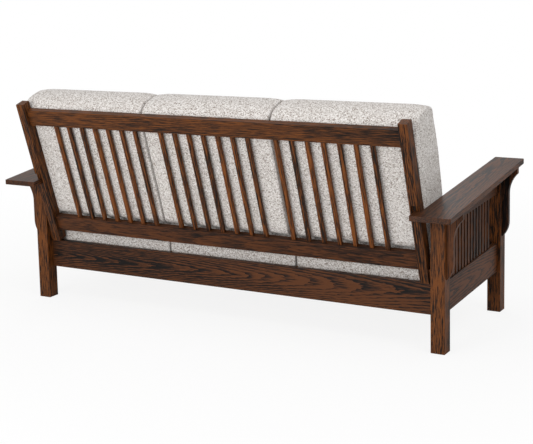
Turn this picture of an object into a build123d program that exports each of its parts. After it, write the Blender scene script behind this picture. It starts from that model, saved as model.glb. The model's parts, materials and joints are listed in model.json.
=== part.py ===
# Mission style sofa: an oak frame with a slatted, leaning back, sloping arms on legs with corbels,
# slatted sides, and six loose cushions. Lengths are in millimetres.
# X runs along the sofa (plus X is the sitter's left), the front faces minus Y, and Z is up.
# While the pieces are made, Y is measured from the rear face of the rear legs.
import math
import os

from build123d import *

os.makedirs("parts", exist_ok=True)

# Seat and legs
seat_width = 1830.0  # between the inner faces of the legs
seat_places = 3
frame_depth = 688.0  # rear face of the rear legs to front face of the front legs
leg_width = 57.0
leg_depth = 57.0
edge_ease = 1.6  # rounding of the worked edges

# Joinery
tenon_length = 21.0
tenon_thickness = 10.0
tenon_shoulder = 12.0
mortise_end_gap = 1.0
joint_gap = 0.2
overrun = 5.0  # how far a cutter passes a face

# Aprons, front and rear
apron_height = 122.0
apron_thickness = 22.0
rear_apron_bottom = 138.0
rear_apron_inset = 37.0  # behind it, the rear face of the legs
front_apron_inset = 15.0

# Lower side rails, which rise towards the front as the seat does
side_rail_height = 122.0
side_rail_thickness = 22.0
side_rail_inset = 15.0  # from the outer face of the legs
side_rail_rear_top = 269.0
side_rail_front_top = 295.0

# Side slats, and the tapered rails that join them to the arms
side_slat_count = 13
side_slat_length = 208.0  # the length that shows
side_slat_width = 18.0
side_slat_thickness = 12.0
side_slat_pitch = 32.8
slat_housing = 8.0  # how deep a slat's end goes into a rail

# Arms
arm_thickness = 21.0
arm_rear_top = 549.5
arm_front_top = 643.0
arm_rear_reach = 117.0  # behind the rear legs
arm_front_reach = 37.0  # in front of the front legs
arm_outer_reach = 68.0  # outside the legs
arm_hook_reach = 23.0  # how far the arm hooks in behind the stile
arm_corner_radius = 5.0
arm_stile_gap = 0.3
dowel_diameter = 10.0
dowel_length = 46.0
dowel_arm_depth = 14.0  # the length of a dowel that is in the arm

# Corbels on the outer faces of the legs, under the arms
corbel_thickness = 22.0
corbel_reach = 64.0
corbel_waist = 27.0
corbel_lip = 25.0
corbel_neck = 85.0
corbel_foot = 65.0
corbel_rear_base = 284.0  # above the floor
corbel_front_base = 321.0

# Leaning back. Its slope is measured from where the stiles' rear faces would meet the floor.
recline = 18.0  # degrees from upright
back_floor_offset = 109.5  # in front of the rear face of the rear legs
stile_width = 38.0
stile_depth = 46.0
stile_gap = 14.0  # between a stile and its leg
stile_top = 940.0  # along the slope, as the heights of the back's other pieces are
back_rail_height = 70.0
back_rail_inset = 17.0  # from the stiles' rear faces; the front faces are flush
top_rail_drop = 33.0
lower_rail_base = 322.0
back_slats_per_group = 7
back_slat_groups = 3
back_slat_pitch = 68.0
back_slat_width = 17.0
back_slat_thickness = 14.0
arm_housing_width = 31.0  # cut in the stile's rear face from its outer side, for the arm's hook
arm_housing_depth = 10.0
arm_housing_rise = 24.0  # how far it goes on above the arm
spacer_width = 25.0
spacer_height = 60.0
spacer_inset = 8.0  # from the stile's rear face
back_dowel_diameter = 10.0
back_dowel_length = 58.0
back_dowel_spacing = 32.0

# Seat deck
deck_drop = 17.0  # the deck lies this far below the top line of the side rails
deck_slat_thickness = 18.0
deck_slat_width = 80.0
deck_slats_per_place = 5
deck_end_gap = 2.0
cleat_height = 34.0
cleat_thickness = 25.0
stretcher_width = 40.0
stretcher_height = 70.0
stretcher_tenon_length = 11.0
screw_diameter = 4.0
screw_head_diameter = 8.0
screw_head_height = 2.4
screw_bite = 14.0  # how deep a screw goes into the second piece
screw_edge_distance = 14.0  # from a deck slat's edge
cleat_screws_per_half = 3
deck_slats_per_cleat_screw = 3

# Cushions
rest_gap = 0.3
cushion_gap = 0.6
seat_cushion_thickness = 142.0
seat_cushion_crown = 7.0  # of its top, in front of the back cushion
seat_cushion_front_drop = 28.0
seat_cushion_overhang = 8.0  # in front of the front apron
seat_cushion_back_gap = 3.0
seat_cushion_side_gap = 1.0
seat_cushion_bulge = 7.0
back_cushion_thickness = 205.0
back_cushion_drop = 4.0  # of its upper corners, below the top rail's upper edge
back_cushion_crown = 33.0
back_cushion_bulge = 22.0
back_cushion_side_gap = 1.5
cushion_corner = 20.0
cushion_end_drop = 9.0
cushion_side_draw = 4.0
crown_end_share = 0.75  # of a back cushion's crown, left at its two ends
straight_share = 0.1  # a corner whose half angle has a smaller cosine is left unrounded
# Stations from the middle of a cushion to its end as shares of its half width, with their shares of its form
half_station_shares = ((0.0, 1.0), (0.6, 0.92), (0.94, 0.62), (1.0, 0.0))

# Places worked out from the sizes above
seat_half = seat_width / 2
leg_outer = seat_half + leg_width
front_leg_rear = -(frame_depth - leg_depth)
cleat_start = stretcher_width / 2 + joint_gap
side_rail_outer = leg_outer - side_rail_inset
side_rail_inner = side_rail_outer - side_rail_thickness
side_rail_middle = (side_rail_outer + side_rail_inner) / 2
side_slope = (side_rail_front_top - side_rail_rear_top) / (frame_depth - leg_depth - leg_depth)
deck_angle = math.atan(side_slope)
arm_slope = (arm_front_top - arm_rear_top) / (arm_rear_reach + frame_depth + arm_front_reach)
recline_angle = math.radians(recline)
stile_outer = seat_half - stile_gap
stile_inner = stile_outer - stile_width
deck_slat_pitch = seat_width / (seat_places * deck_slats_per_place)
rear_apron_top = rear_apron_bottom + apron_height
rear_apron_front = -(rear_apron_inset + apron_thickness)
front_apron_front = -(frame_depth - front_apron_inset)
front_apron_rear = front_apron_front + apron_thickness
back_rail_thickness = stile_depth - back_rail_inset
deck_under = deck_slat_thickness / math.cos(deck_angle)  # from the deck's surface straight down
top_rail_top = stile_top - top_rail_drop
top_rail_bottom = top_rail_top - back_rail_height
lower_rail_top = lower_rail_base + back_rail_height
stile_foot = rear_apron_top / math.cos(recline_angle)
back_cushion_shoulder = top_rail_top - back_cushion_drop
back_cushion_top = back_cushion_shoulder + back_cushion_crown
cushion_station_shares = [(-place, fullness) for place, fullness in half_station_shares[:0:-1]]
cushion_station_shares += half_station_shares


# Helpers
def side_rail_top(y):
    """Height of the lower side rail's top edge at y."""
    return side_rail_rear_top - side_slope * (y + leg_depth)


def deck_top(y):
    """Height of the seat deck at y."""
    return side_rail_top(y) - deck_drop


def deck_band(low, high, y0, y1):
    """Outline between two lines parallel to the deck, given by how far they lie under it."""
    return (
        (y0, deck_top(y0) - low),
        (y1, deck_top(y1) - low),
        (y1, deck_top(y1) - high),
        (y0, deck_top(y0) - high),
    )


def arm_top(y):
    """Height of the arm's upper face at y."""
    return arm_rear_top + arm_slope * (arm_rear_reach - y)


def arm_underside(y):
    return arm_top(y) - arm_thickness


def back_yz(inset, along):
    """Y and Z of a point of the back: inset forwards from the stiles' rear faces, along up the slope."""
    y = -back_floor_offset + along * math.sin(recline_angle) - inset * math.cos(recline_angle)
    return y, along * math.cos(recline_angle) + inset * math.sin(recline_angle)


def back_y_at(inset, z):
    """Y at height z on a plane of the back."""
    along = (z - inset * math.sin(recline_angle)) / math.cos(recline_angle)
    return back_yz(inset, along)[0]


def block(x0, x1, y0, y1, z0, z1):
    """A box given by its corners."""
    middle = ((x0 + x1) / 2, (y0 + y1) / 2, (z0 + z1) / 2)
    return Pos(*middle) * Box(abs(x1 - x0), abs(y1 - y0), abs(z1 - z0))


def prism_x(outline_yz, x0, x1):
    """A side outline of (y, z) points, carried across from x0 to x1."""
    face = Face(Wire.make_polygon([Vector(x0, y, z) for y, z in outline_yz], close=True))
    return extrude(face, amount=x1 - x0, dir=(1, 0, 0))


def rod(start, direction, length, radius):
    """A round rod or bore from start along direction."""
    low = (Align.CENTER, Align.CENTER, Align.MIN)
    return Plane(origin=start, z_dir=direction) * Cylinder(radius, length, align=low)


def in_back(x0, x1, inset0, inset1, along0, along1):
    """A box that leans with the back."""
    corners = ((inset0, along0), (inset1, along0), (inset1, along1), (inset0, along1))
    return prism_x([back_yz(*c) for c in corners], x0, x1)


def eased(piece, edges=None):
    """The piece with its worked edges rounded."""
    return fillet(piece.edges() if edges is None else edges, edge_ease)


def other_side(piece):
    return mirror(piece, about=Plane.YZ)


# Rails and aprons, each with a tenon at both ends
def rear_apron():
    y0, y1 = rear_apron_front, -rear_apron_inset
    z0, z1 = rear_apron_bottom, rear_apron_top
    return tenoned_apron(y0, y1, z0, z1)


def front_apron_top():
    return deck_top(front_apron_rear)


def front_apron():
    z1 = front_apron_top()
    return tenoned_apron(front_apron_front, front_apron_rear, z1 - apron_height, z1)


def tenoned_apron(y0, y1, z0, z1):
    board = block(-seat_half, seat_half, y0, y1, z0, z1)
    board = eased(board, board.edges().filter_by(Axis.X)) + apron_tenons(y0, y1, z0, z1, 0)
    for x in cleat_screw_places():
        for front in (False, True):
            screw = cleat_screw(x, front, joint_gap)
            board = board - screw - other_side(screw)
    return board - stretcher_tenons(joint_gap)


def apron_tenons(y0, y1, z0, z1, gap):
    """Both tenons of an apron, or with a gap the space that they need."""
    middle, half = (y0 + y1) / 2, tenon_thickness / 2 + gap
    reach = seat_half + tenon_length + (mortise_end_gap if gap else 0)
    low, high = z0 + tenon_shoulder - gap, z1 - tenon_shoulder + gap
    return block(-reach, reach, middle - half, middle + half, low, high)


def side_rail_outline(lift0, lift1, y0, y1):
    """Outline between two lines parallel to the side rail's top edge."""
    return (
        (y0, side_rail_top(y0) + lift0),
        (y1, side_rail_top(y1) + lift0),
        (y1, side_rail_top(y1) + lift1),
        (y0, side_rail_top(y0) + lift1),
    )


def side_rail_tenons(gap):
    half = tenon_thickness / 2 + gap
    reach = tenon_length + (mortise_end_gap if gap else 0)
    low, high = tenon_shoulder - side_rail_height - gap, gap - tenon_shoulder
    outline = side_rail_outline(low, high, reach - leg_depth, front_leg_rear - reach)
    return prism_x(outline, side_rail_middle - half, side_rail_middle + half)


def side_slat_places():
    """Y of the middle of each side slat."""
    middle = (front_leg_rear - leg_depth) / 2
    first = middle + side_slat_pitch * (side_slat_count - 1) / 2
    return [first - side_slat_pitch * i for i in range(side_slat_count)]


def side_slat(y, gap):
    """One upright slat with both housed ends, or with a gap the space that it needs."""
    half_x, half_y = side_slat_thickness / 2 + gap, side_slat_width / 2 + gap
    ends = slat_housing + gap
    outline = side_rail_outline(-ends, side_slat_length + ends, y + half_y, y - half_y)
    return prism_x(outline, side_rail_middle - half_x, side_rail_middle + half_x)


def side_rail():
    outline = side_rail_outline(-side_rail_height, 0, -leg_depth, front_leg_rear)
    rail = prism_x(outline, side_rail_inner, side_rail_outer)
    rail = eased(rail, long_edges(rail)) + side_rail_tenons(0)
    for y in side_slat_places():
        rail -= side_slat(y, joint_gap)
    return rail


def long_edges(piece):
    """The edges that run along a rail from one leg to the other."""
    middle = (front_leg_rear - leg_depth) / 2
    return piece.edges().filter_by(lambda e: abs(e.center().Y - middle) < leg_depth)


def upper_rail_tenons(gap):
    """Tenons of the tapered rail, level with its lower edge and kept below the arm."""
    half = tenon_thickness / 2 + gap
    reach = tenon_length + (mortise_end_gap if gap else 0)
    y0, y1 = reach - leg_depth, front_leg_rear - reach
    low = side_slat_length + tenon_shoulder - gap
    outline = (
        (y0, side_rail_top(y0) + low),
        (y1, side_rail_top(y1) + low),
        (y1, arm_underside(y1) - tenon_shoulder + gap),
        (y0, arm_underside(y0) - tenon_shoulder + gap),
    )
    return prism_x(outline, side_rail_middle - half, side_rail_middle + half)


def upper_side_rail():
    y0, y1 = -leg_depth, front_leg_rear
    outline = (
        (y0, side_rail_top(y0) + side_slat_length),
        (y1, side_rail_top(y1) + side_slat_length),
        (y1, arm_underside(y1)),
        (y0, arm_underside(y0)),
    )
    rail = prism_x(outline, side_rail_inner, side_rail_outer)
    lower = long_edges(rail).sort_by(Axis.Z)[:2]
    rail = eased(rail, lower) + upper_rail_tenons(0)
    for y in side_slat_places():
        rail -= side_slat(y, joint_gap)
    return rail


def side_slats():
    return Compound(children=[eased_slat(side_slat(y, 0)) for y in side_slat_places()])


def eased_slat(slat):
    """A slat with its four long edges rounded."""
    return eased(slat, slat.edges().sort_by(SortBy.LENGTH)[-4:])


# Legs, arms and corbels
def leg(y0):
    """A leg whose rear face is at y0, cut off along the slope of the arm."""
    y1 = y0 - leg_depth
    outline = ((y0, 0), (y1, 0), (y1, arm_underside(y1)), (y0, arm_underside(y0)))
    post = prism_x(outline, seat_half, leg_outer)
    foot = post.edges().group_by(Axis.Z)[0]
    post = eased(post, foot + post.edges().filter_by(Axis.Z))
    post -= side_rail_tenons(joint_gap)
    post -= upper_rail_tenons(joint_gap)
    return post - arm_dowel(y0, joint_gap)


def rear_leg():
    post = leg(0)
    post -= apron_tenons(rear_apron_front, -rear_apron_inset, rear_apron_bottom, rear_apron_top, joint_gap)
    for dowel in back_dowels(joint_gap):
        post -= dowel
    return post


def front_leg():
    z1 = front_apron_top()
    tenons = apron_tenons(front_apron_front, front_apron_rear, z1 - apron_height, z1, joint_gap)
    return leg(front_leg_rear) - tenons


def arm_dowel(y0, gap):
    """The dowel between a leg and the arm, or with a gap its bore."""
    y = y0 - leg_depth / 2
    x = seat_half + leg_width / 2
    low = arm_underside(y) - (dowel_length - dowel_arm_depth) - gap
    return rod((x, y, low), (0, 0, 1), dowel_length + 2 * gap, dowel_diameter / 2 + gap)


def arm():
    """A sloping board, notched round the stile, with a hook that reaches into the stile's housing."""
    rear, front = arm_rear_reach, -(frame_depth + arm_front_reach)
    outer = leg_outer + arm_outer_reach
    hook = stile_outer - arm_hook_reach
    lower = ((rear, arm_underside(rear)), (front, arm_underside(front)))
    upper = ((front, arm_top(front)), (rear, arm_top(rear)))
    board = prism_x(lower + upper, hook, outer)
    step = back_y_at(stile_depth / 2, arm_top(0))
    inner = ((hook, rear), (hook, step), (stile_outer, step), (seat_half, front))
    plan = inner + ((outer, front), (outer, rear))
    face = Face(Wire.make_polygon([Vector(x, y, 0) for x, y in plan], close=True))
    board = board & extrude(face, amount=arm_front_top + overrun, dir=(0, 0, 1))
    corners = [e for e in board.edges().filter_by(Axis.Z) if is_arm_corner(e, rear, front)]
    board = fillet(corners, arm_corner_radius)
    board = eased(board)
    inset0, inset1 = arm_housing_depth - arm_stile_gap, stile_depth + arm_stile_gap
    board -= in_back(0, stile_outer + arm_stile_gap, inset0, inset1, 0, stile_top)
    for y0 in (0, front_leg_rear):
        board -= arm_dowel(y0, joint_gap)
    return board


def is_arm_corner(edge, rear, front):
    """True for the arm's upright edges at its two ends."""
    y = edge.center().Y
    return abs(y - rear) < overrun or abs(y - front) < overrun


def curve_to(start, end, waist_end):
    """Arc from start to end in the XZ plane that ends upright at the waist."""
    (xw, zw), (xo, zo) = (end, start) if waist_end == "end" else (start, end)
    run, rise = xo - xw, zo - zw
    radius = (run * run + rise * rise) / (2 * run)
    half_turn = math.atan2(rise / radius, 1 - run / radius) / 2
    middle = (xw + radius - radius * math.cos(half_turn), zw + radius * math.sin(half_turn))
    return Edge.make_three_point_arc(*[Vector(x, 0, z) for x, z in (start, middle, end)])


def corbel(leg_rear, base):
    """Bracket on a leg's outer face: a lip, a hollow neck, a straight waist and a curved foot."""
    y = leg_rear - leg_depth / 2
    top = arm_underside(y)
    wall, lip, waist = leg_outer, leg_outer + corbel_reach, leg_outer + corbel_waist
    high = arm_underside(y - corbel_thickness) + overrun
    foot, foot_end = (wall, base), (waist, base + corbel_foot)
    neck, neck_end = (waist, top - corbel_lip - corbel_neck), (lip, top - corbel_lip)
    edges = [curve_to(foot, foot_end, "end"), line_xz(foot_end, neck), curve_to(neck, neck_end, "start")]
    edges += [line_xz(neck_end, (lip, high)), line_xz((lip, high), (wall, high)), line_xz((wall, high), foot)]
    face = Face(Wire(edges))
    piece = extrude(face, amount=corbel_thickness / 2, dir=(0, 1, 0), both=True)
    piece = Pos(0, y, 0) * piece
    shown = [e for e in piece.edges() if e.center().X > wall + edge_ease and e.center().Z < top]
    piece = eased(piece, ShapeList(shown).filter_by(Axis.Y, reverse=True))
    return piece & below_arm()


def line_xz(start, end):
    return Edge.make_line(Vector(start[0], 0, start[1]), Vector(end[0], 0, end[1]))


def below_arm():
    """All the space under the arm's underside."""
    rear, front = arm_rear_reach, -(frame_depth + arm_front_reach)
    outline = ((rear, 0), (front, 0), (front, arm_underside(front)), (rear, arm_underside(rear)))
    return prism_x(outline, 0, leg_outer + arm_outer_reach)


# The back
def stile():
    """A leaning post, cut square at both ends, that passes through the arm's notch."""
    post = eased(in_back(stile_inner, stile_outer, 0, stile_depth, stile_foot, stile_top))
    for low in (lower_rail_base, top_rail_bottom):
        post -= back_rail_tenons(low, joint_gap)
    for dowel in back_dowels(joint_gap):
        post -= dowel
    return post - arm_housing()


def arm_housing():
    """The housing in the stile's rear face that the arm's hook reaches into and rests on."""
    inner, outer = stile_outer - arm_housing_width, stile_outer + overrun
    y = back_y_at(0, arm_rear_top)
    high = (arm_top(y) + arm_housing_rise) / math.cos(recline_angle)
    space = in_back(inner, outer, -overrun, arm_housing_depth, lower_rail_top, high)
    return space - below_arm()


def back_rail_tenons(low, gap):
    half = tenon_thickness / 2 + gap
    middle = back_rail_inset + back_rail_thickness / 2
    reach = stile_inner + tenon_length + (mortise_end_gap if gap else 0)
    z0, z1 = low + tenon_shoulder - gap, low + back_rail_height - tenon_shoulder + gap
    return in_back(-reach, reach, middle - half, middle + half, z0, z1)


def back_slat_places():
    """X of the middle of each back slat: equal groups, with equal wider gaps beside them."""
    group_width = back_slat_pitch * (back_slats_per_group - 1)
    wide_gap = (2 * stile_inner - back_slat_groups * group_width) / (back_slat_groups + 1)
    places = []
    for group in range(back_slat_groups):
        first = wide_gap + group * (group_width + wide_gap) - stile_inner
        places += [first + back_slat_pitch * i for i in range(back_slats_per_group)]
    return places


def back_slat(x, gap):
    half_x = back_slat_width / 2 + gap
    middle, half = back_rail_inset + back_rail_thickness / 2, back_slat_thickness / 2 + gap
    low, high = lower_rail_top - slat_housing - gap, top_rail_bottom + slat_housing + gap
    return in_back(x - half_x, x + half_x, middle - half, middle + half, low, high)


def back_rail(low):
    """A rail between the stiles, with tenons and with housings for the slats."""
    rail = in_back(-stile_inner, stile_inner, back_rail_inset, stile_depth, low, low + back_rail_height)
    rail = eased(rail, rail.edges().filter_by(Axis.X)) + back_rail_tenons(low, 0)
    for x in back_slat_places():
        rail -= back_slat(x, joint_gap)
    return rail


def stile_spacer():
    """The block that fills the gap between a stile's foot and its leg."""
    inset0, inset1 = spacer_inset, spacer_inset + spacer_width
    piece = in_back(stile_outer, seat_half, inset0, inset1, stile_foot, stile_foot + spacer_height)
    for dowel in back_dowels(joint_gap):
        piece -= dowel
    return piece


def back_dowels(gap):
    """Two dowels through a spacer, from the stile into the leg, or with a gap their bores."""
    inset, along = spacer_inset + spacer_width / 2, stile_foot + spacer_height / 2
    start = (stile_outer + seat_half - back_dowel_length) / 2 - gap
    length, radius = back_dowel_length + 2 * gap, back_dowel_diameter / 2 + gap
    places = [back_yz(inset, along + lift) for lift in (-back_dowel_spacing / 2, back_dowel_spacing / 2)]
    return [rod((start, y, z), (1, 0, 0), length, radius) for y, z in places]


# Seat deck
def cleat(front):
    """The left half of a strip along the inner face of an apron that carries the deck slats."""
    y0 = front_apron_rear if front else rear_apron_front - cleat_thickness
    y1 = y0 + cleat_thickness
    outline = deck_band(deck_under + cleat_height, deck_under, y0, y1)
    strip = prism_x(outline, cleat_start, seat_half - deck_end_gap)
    for x in cleat_screw_places():
        strip -= cleat_screw(x, front, joint_gap)
    for x, y in deck_screw_places():
        strip -= deck_screw(x, y, joint_gap)
    return strip


def cleat_screw_places():
    """X of the left half's screws, midway between deck slats."""
    step = deck_slat_pitch * deck_slats_per_cleat_screw
    return [deck_slat_pitch / 2 + step * i for i in range(cleat_screws_per_half)]


def cleat_screw(x, front, gap):
    """A countersunk screw through a cleat into its apron."""
    face = front_apron_rear + cleat_thickness if front else rear_apron_front - cleat_thickness
    z = deck_top(face) - deck_under - cleat_height / 2
    return countersunk((x, face, z), (0, -1, 0) if front else (0, 1, 0), cleat_thickness + screw_bite, gap)


def countersunk(head, direction, length, gap):
    """A screw with its head flush at a point, or with a gap the hole that it needs."""
    radius, wide = screw_diameter / 2 + gap, screw_head_diameter / 2 + gap
    shank = rod(head, direction, length + gap, radius)
    low = (Align.CENTER, Align.CENTER, Align.MIN)
    return shank + Plane(origin=head, z_dir=direction) * Cone(wide, radius, screw_head_height + gap, align=low)


def deck_slat_places():
    first = deck_slat_pitch / 2 - seat_half
    return [first + deck_slat_pitch * i for i in range(seat_places * deck_slats_per_place)]


def deck_screw_places():
    """X and Y of the left half's screws, one at each end of each deck slat."""
    ends = (rear_apron_front - cleat_thickness / 2, front_apron_rear + cleat_thickness / 2)
    offset = deck_slat_width / 2 - screw_edge_distance
    return [(x + offset, y) for x in deck_slat_places() if x > -offset for y in ends]


def deck_screw(x, y, gap):
    normal = (0, -math.sin(deck_angle), -math.cos(deck_angle))
    return countersunk((x, y, deck_top(y)), normal, deck_slat_thickness + screw_bite, gap)


def deck_slats():
    y0, y1 = rear_apron_front - deck_end_gap, front_apron_rear + deck_end_gap
    outline = deck_band(deck_under, 0, y0, y1)
    half = deck_slat_width / 2
    slats = []
    for x in deck_slat_places():
        slat = prism_x(outline, x - half, x + half)
        for screw_x, y in deck_screw_places():
            for place in (screw_x, -screw_x):
                if abs(place - x) < half:
                    slat -= deck_screw(place, y, joint_gap)
        slats.append(slat)
    return Compound(children=slats)


def centre_stretcher():
    """A bar under the middle of the deck that ties the aprons together."""
    outline = deck_band(deck_under + stretcher_height, deck_under, rear_apron_front, front_apron_rear)
    return prism_x(outline, -stretcher_width / 2, stretcher_width / 2) + stretcher_tenons(0)


def stretcher_tenons(gap):
    """The stretcher's tenons, or with a gap the space that they need in the aprons."""
    reach = stretcher_tenon_length + (mortise_end_gap if gap else 0)
    low = deck_under + stretcher_height - tenon_shoulder + gap
    outline = deck_band(low, deck_under + tenon_shoulder - gap, rear_apron_front + reach, front_apron_rear - reach)
    half = tenon_thickness / 2 + gap
    return prism_x(outline, -half, half)


# Cushions
def soft_outline(corners, bulges, to_space):
    """A closed outline with rounded corners, whose sides rise by their bulges."""
    count = len(corners)
    arcs = []
    for i in range(count):
        here, before = Vector(*corners[i]), Vector(*corners[i - 1])
        after = Vector(*corners[(i + 1) % count])
        arcs.append(corner_arc(here, (before - here).normalized(), (after - here).normalized()))
    edges = []
    for i in range(count):
        if len(arcs[i]) > 1:
            edges.append(Edge.make_three_point_arc(*[to_space(p) for p in arcs[i]]))
        out, end = arcs[i][-1], arcs[(i + 1) % count][0]
        side = end - out
        if bulges[i] == 0:
            edges.append(Edge.make_line(to_space(out), to_space(end)))
        else:
            rise = (out + end) / 2 + Vector(side.Y, -side.X).normalized() * bulges[i]
            edges.append(Edge.make_three_point_arc(*[to_space(p) for p in (out, rise, end)]))
    return Wire(edges)


def corner_arc(here, back, on):
    """Start, middle and end of the arc that rounds a corner, or the corner itself where it is straight."""
    half_angle = math.radians(back.get_angle(on)) / 2
    if math.cos(half_angle) < straight_share:
        return (here,)
    pull = (back + on) / 2 * cushion_corner / (1 + math.sin(half_angle))
    return here + back * cushion_corner, here + pull, here + on * cushion_corner


def deck_space(x):
    """Takes (forward, up) on the seat deck to space, at one x."""
    y0 = -leg_depth
    z0 = deck_top(y0)
    c, s = math.cos(deck_angle), math.sin(deck_angle)
    return lambda p: Vector(x, y0 - p.X * c + p.Y * s, z0 + p.X * s + p.Y * c)


def back_space(x):
    """Takes (inset, along) on the back to space, at one x."""
    return lambda p: Vector(x, *back_yz(p.X, p.Y))


def on_deck(y, z):
    """How far forward on the deck a point lies, measured along its slope."""
    return -(y + leg_depth) * math.cos(deck_angle) + (z - deck_top(-leg_depth)) * math.sin(deck_angle)


def seat_cushion(x, width):
    """A boxed seat cushion: flat below and under the back cushion, with a top that curves down to the front."""
    rear = (-leg_depth - back_y_at(stile_depth, rear_apron_top) + seat_cushion_back_gap) / math.cos(deck_angle)
    front = (-leg_depth - front_apron_front + seat_cushion_overhang) / math.cos(deck_angle)
    back_front = back_cushion_rear() + back_cushion_thickness
    crease = on_deck(*back_yz(back_front, on_seat(back_front)))
    low, sections = rest_gap, []
    for place, fullness in cushion_station_shares:
        high = seat_cushion_thickness - cushion_end_drop * (1 - fullness)
        crown, bulge = seat_cushion_crown * (1 + fullness) / 2, seat_cushion_bulge * (1 + fullness) / 2
        lower, nose = ((rear, low), (front, low)), (front, high - seat_cushion_front_drop)
        corners = lower + (nose, (crease, high), (rear, high))
        sections.append(soft_outline(corners, (0, bulge, crown, 0, 0), deck_space(x + place * width / 2)))
    body = Solid.make_loft(sections)
    across = (rear, front + seat_cushion_bulge)
    return drawn_in(body, x, width, deck_space, across, (low, seat_cushion_thickness))


def back_cushion_rear():
    return stile_depth + rest_gap


def seat_surface():
    """Height above the deck that the back cushions stand at."""
    return seat_cushion_thickness + rest_gap


def on_seat(inset):
    """Where a plane of the back meets the top of the seat cushions, measured along the slope."""
    y0, z0 = -leg_depth, deck_top(-leg_depth)
    c, s, lift = math.cos(deck_angle), math.sin(deck_angle), seat_surface()
    y1, z1 = back_yz(inset, 0)
    run, rise = math.sin(recline_angle), math.cos(recline_angle)
    return (lift - (y1 - y0) * s - (z1 - z0) * c) / (run * s + rise * c)


def back_cushion(x, width):
    """A boxed back cushion: flat behind and where it stands on the seat, full in front and on top."""
    rear, sections = back_cushion_rear(), []
    for place, fullness in cushion_station_shares:
        front = rear + back_cushion_thickness - back_cushion_bulge - cushion_end_drop * (1 - fullness)
        high = back_cushion_shoulder - cushion_end_drop * (1 - fullness)
        crown = back_cushion_crown * (crown_end_share + (1 - crown_end_share) * fullness)
        bulge = back_cushion_bulge * (1 + fullness) / 2
        corners = ((rear, on_seat(rear)), (front, on_seat(front)), (front, high), (rear, high))
        sections.append(soft_outline(corners, (0, bulge, crown, 0), back_space(x + place * width / 2)))
    body = Solid.make_loft(sections)
    across = (rear, rear + back_cushion_thickness)
    return drawn_in(body, x, width, back_space, across, (on_seat(rear), back_cushion_top))


def drawn_in(body, x, width, space, across, along):
    """A cushion with its two sides drawn in between the front and the rear."""
    rear, front = across[0] - overrun, across[1] + overrun
    low, high = along[0] - overrun, along[1] + overrun
    arcs = []
    for side in (-1, 1):
        edge = x + side * width / 2
        ends = ((edge, rear), (edge - side * cushion_side_draw, (rear + front) / 2), (edge, front))
        arcs.append(Edge.make_three_point_arc(*[space(px)(Vector(q, low)) for px, q in ends]))
    closing = [Edge.make_line(arcs[0] @ end, arcs[1] @ end) for end in (0, 1)]
    up = space(x)(Vector(0, high)) - space(x)(Vector(0, low))
    return body & extrude(Face(Wire(arcs + closing)), amount=up.length, dir=up.normalized())


# The origin is midway between the foremost and rearmost points, on the floor
rearmost = max(back_yz(0, stile_top)[0], arm_rear_reach)
origin_y = (rearmost - frame_depth - arm_front_reach) / 2


def save(name, piece):
    export_step(Pos(0, -origin_y, 0) * piece, f"parts/{name}.step")


def save_pair(name, left):
    save(f"{name}_left", left)
    save(f"{name}_right", other_side(left))


def both_sides(solids):
    """One group of loose solids, made on the left and copied to the right."""
    return Compound(children=list(solids) + [other_side(s) for s in solids])


save_pair("leg_rear", rear_leg())
save_pair("leg_front", front_leg())
save_pair("corbel_rear", corbel(0, corbel_rear_base))
save_pair("corbel_front", corbel(front_leg_rear, corbel_front_base))
save("rear_apron", rear_apron())
save("front_apron", front_apron())
save_pair("side_rail", side_rail())
save_pair("upper_side_rail", upper_side_rail())
save_pair("side_slats", side_slats())
save_pair("arm", arm())
save("arm_dowels", both_sides([arm_dowel(0, 0), arm_dowel(front_leg_rear, 0)]))

save_pair("back_stile", stile())
save_pair("stile_spacer", stile_spacer())
save("back_dowels", both_sides(back_dowels(0)))
save("top_back_rail", back_rail(top_rail_bottom))
save("lower_back_rail", back_rail(lower_rail_base))
for number, slat_x in enumerate(back_slat_places(), 1):
    save(f"back_slat_{number:02d}", eased_slat(back_slat(slat_x, 0)))

save("rear_cleats", both_sides([cleat(False)]))
save("front_cleats", both_sides([cleat(True)]))
save("deck_slats", deck_slats())
save("centre_stretcher", centre_stretcher())
cleat_screws = [cleat_screw(x, front, 0) for x in cleat_screw_places() for front in (False, True)]
save("cleat_screws", both_sides(cleat_screws))
save("deck_screws", both_sides([deck_screw(x, y, 0) for x, y in deck_screw_places()]))

seat_cushion_pitch = (seat_width - 2 * seat_cushion_side_gap + cushion_gap) / seat_places
back_cushion_pitch = (2 * (stile_outer - back_cushion_side_gap) + cushion_gap) / seat_places
seat_cushion_width = seat_cushion_pitch - cushion_gap
back_cushion_width = back_cushion_pitch - cushion_gap
for index, side_name in enumerate(("right", "middle", "left")):
    step = index - (seat_places - 1) / 2
    save(f"seat_cushion_{side_name}", seat_cushion(step * seat_cushion_pitch, seat_cushion_width))
    save(f"back_cushion_{side_name}", back_cushion(step * back_cushion_pitch, back_cushion_width))
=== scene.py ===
# %% [markdown]
# # A mission style sofa, seen from behind
# The real sofa is an oak frame, stained dark, with six loose cushions in a light tweed. The wooden pieces
# could be drawn again by hand, but they come ready made from the CAD model, with real sizes and joints.
# So this lesson loads that model, gives the wood its oak, and makes the cushions, which CAD only roughs
# out. Nothing that we add may grow far beyond it.

# %% Load the frame
import json
import math

import bmesh
import bpy
import numpy as np
from mathutils import Matrix, Vector


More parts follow.
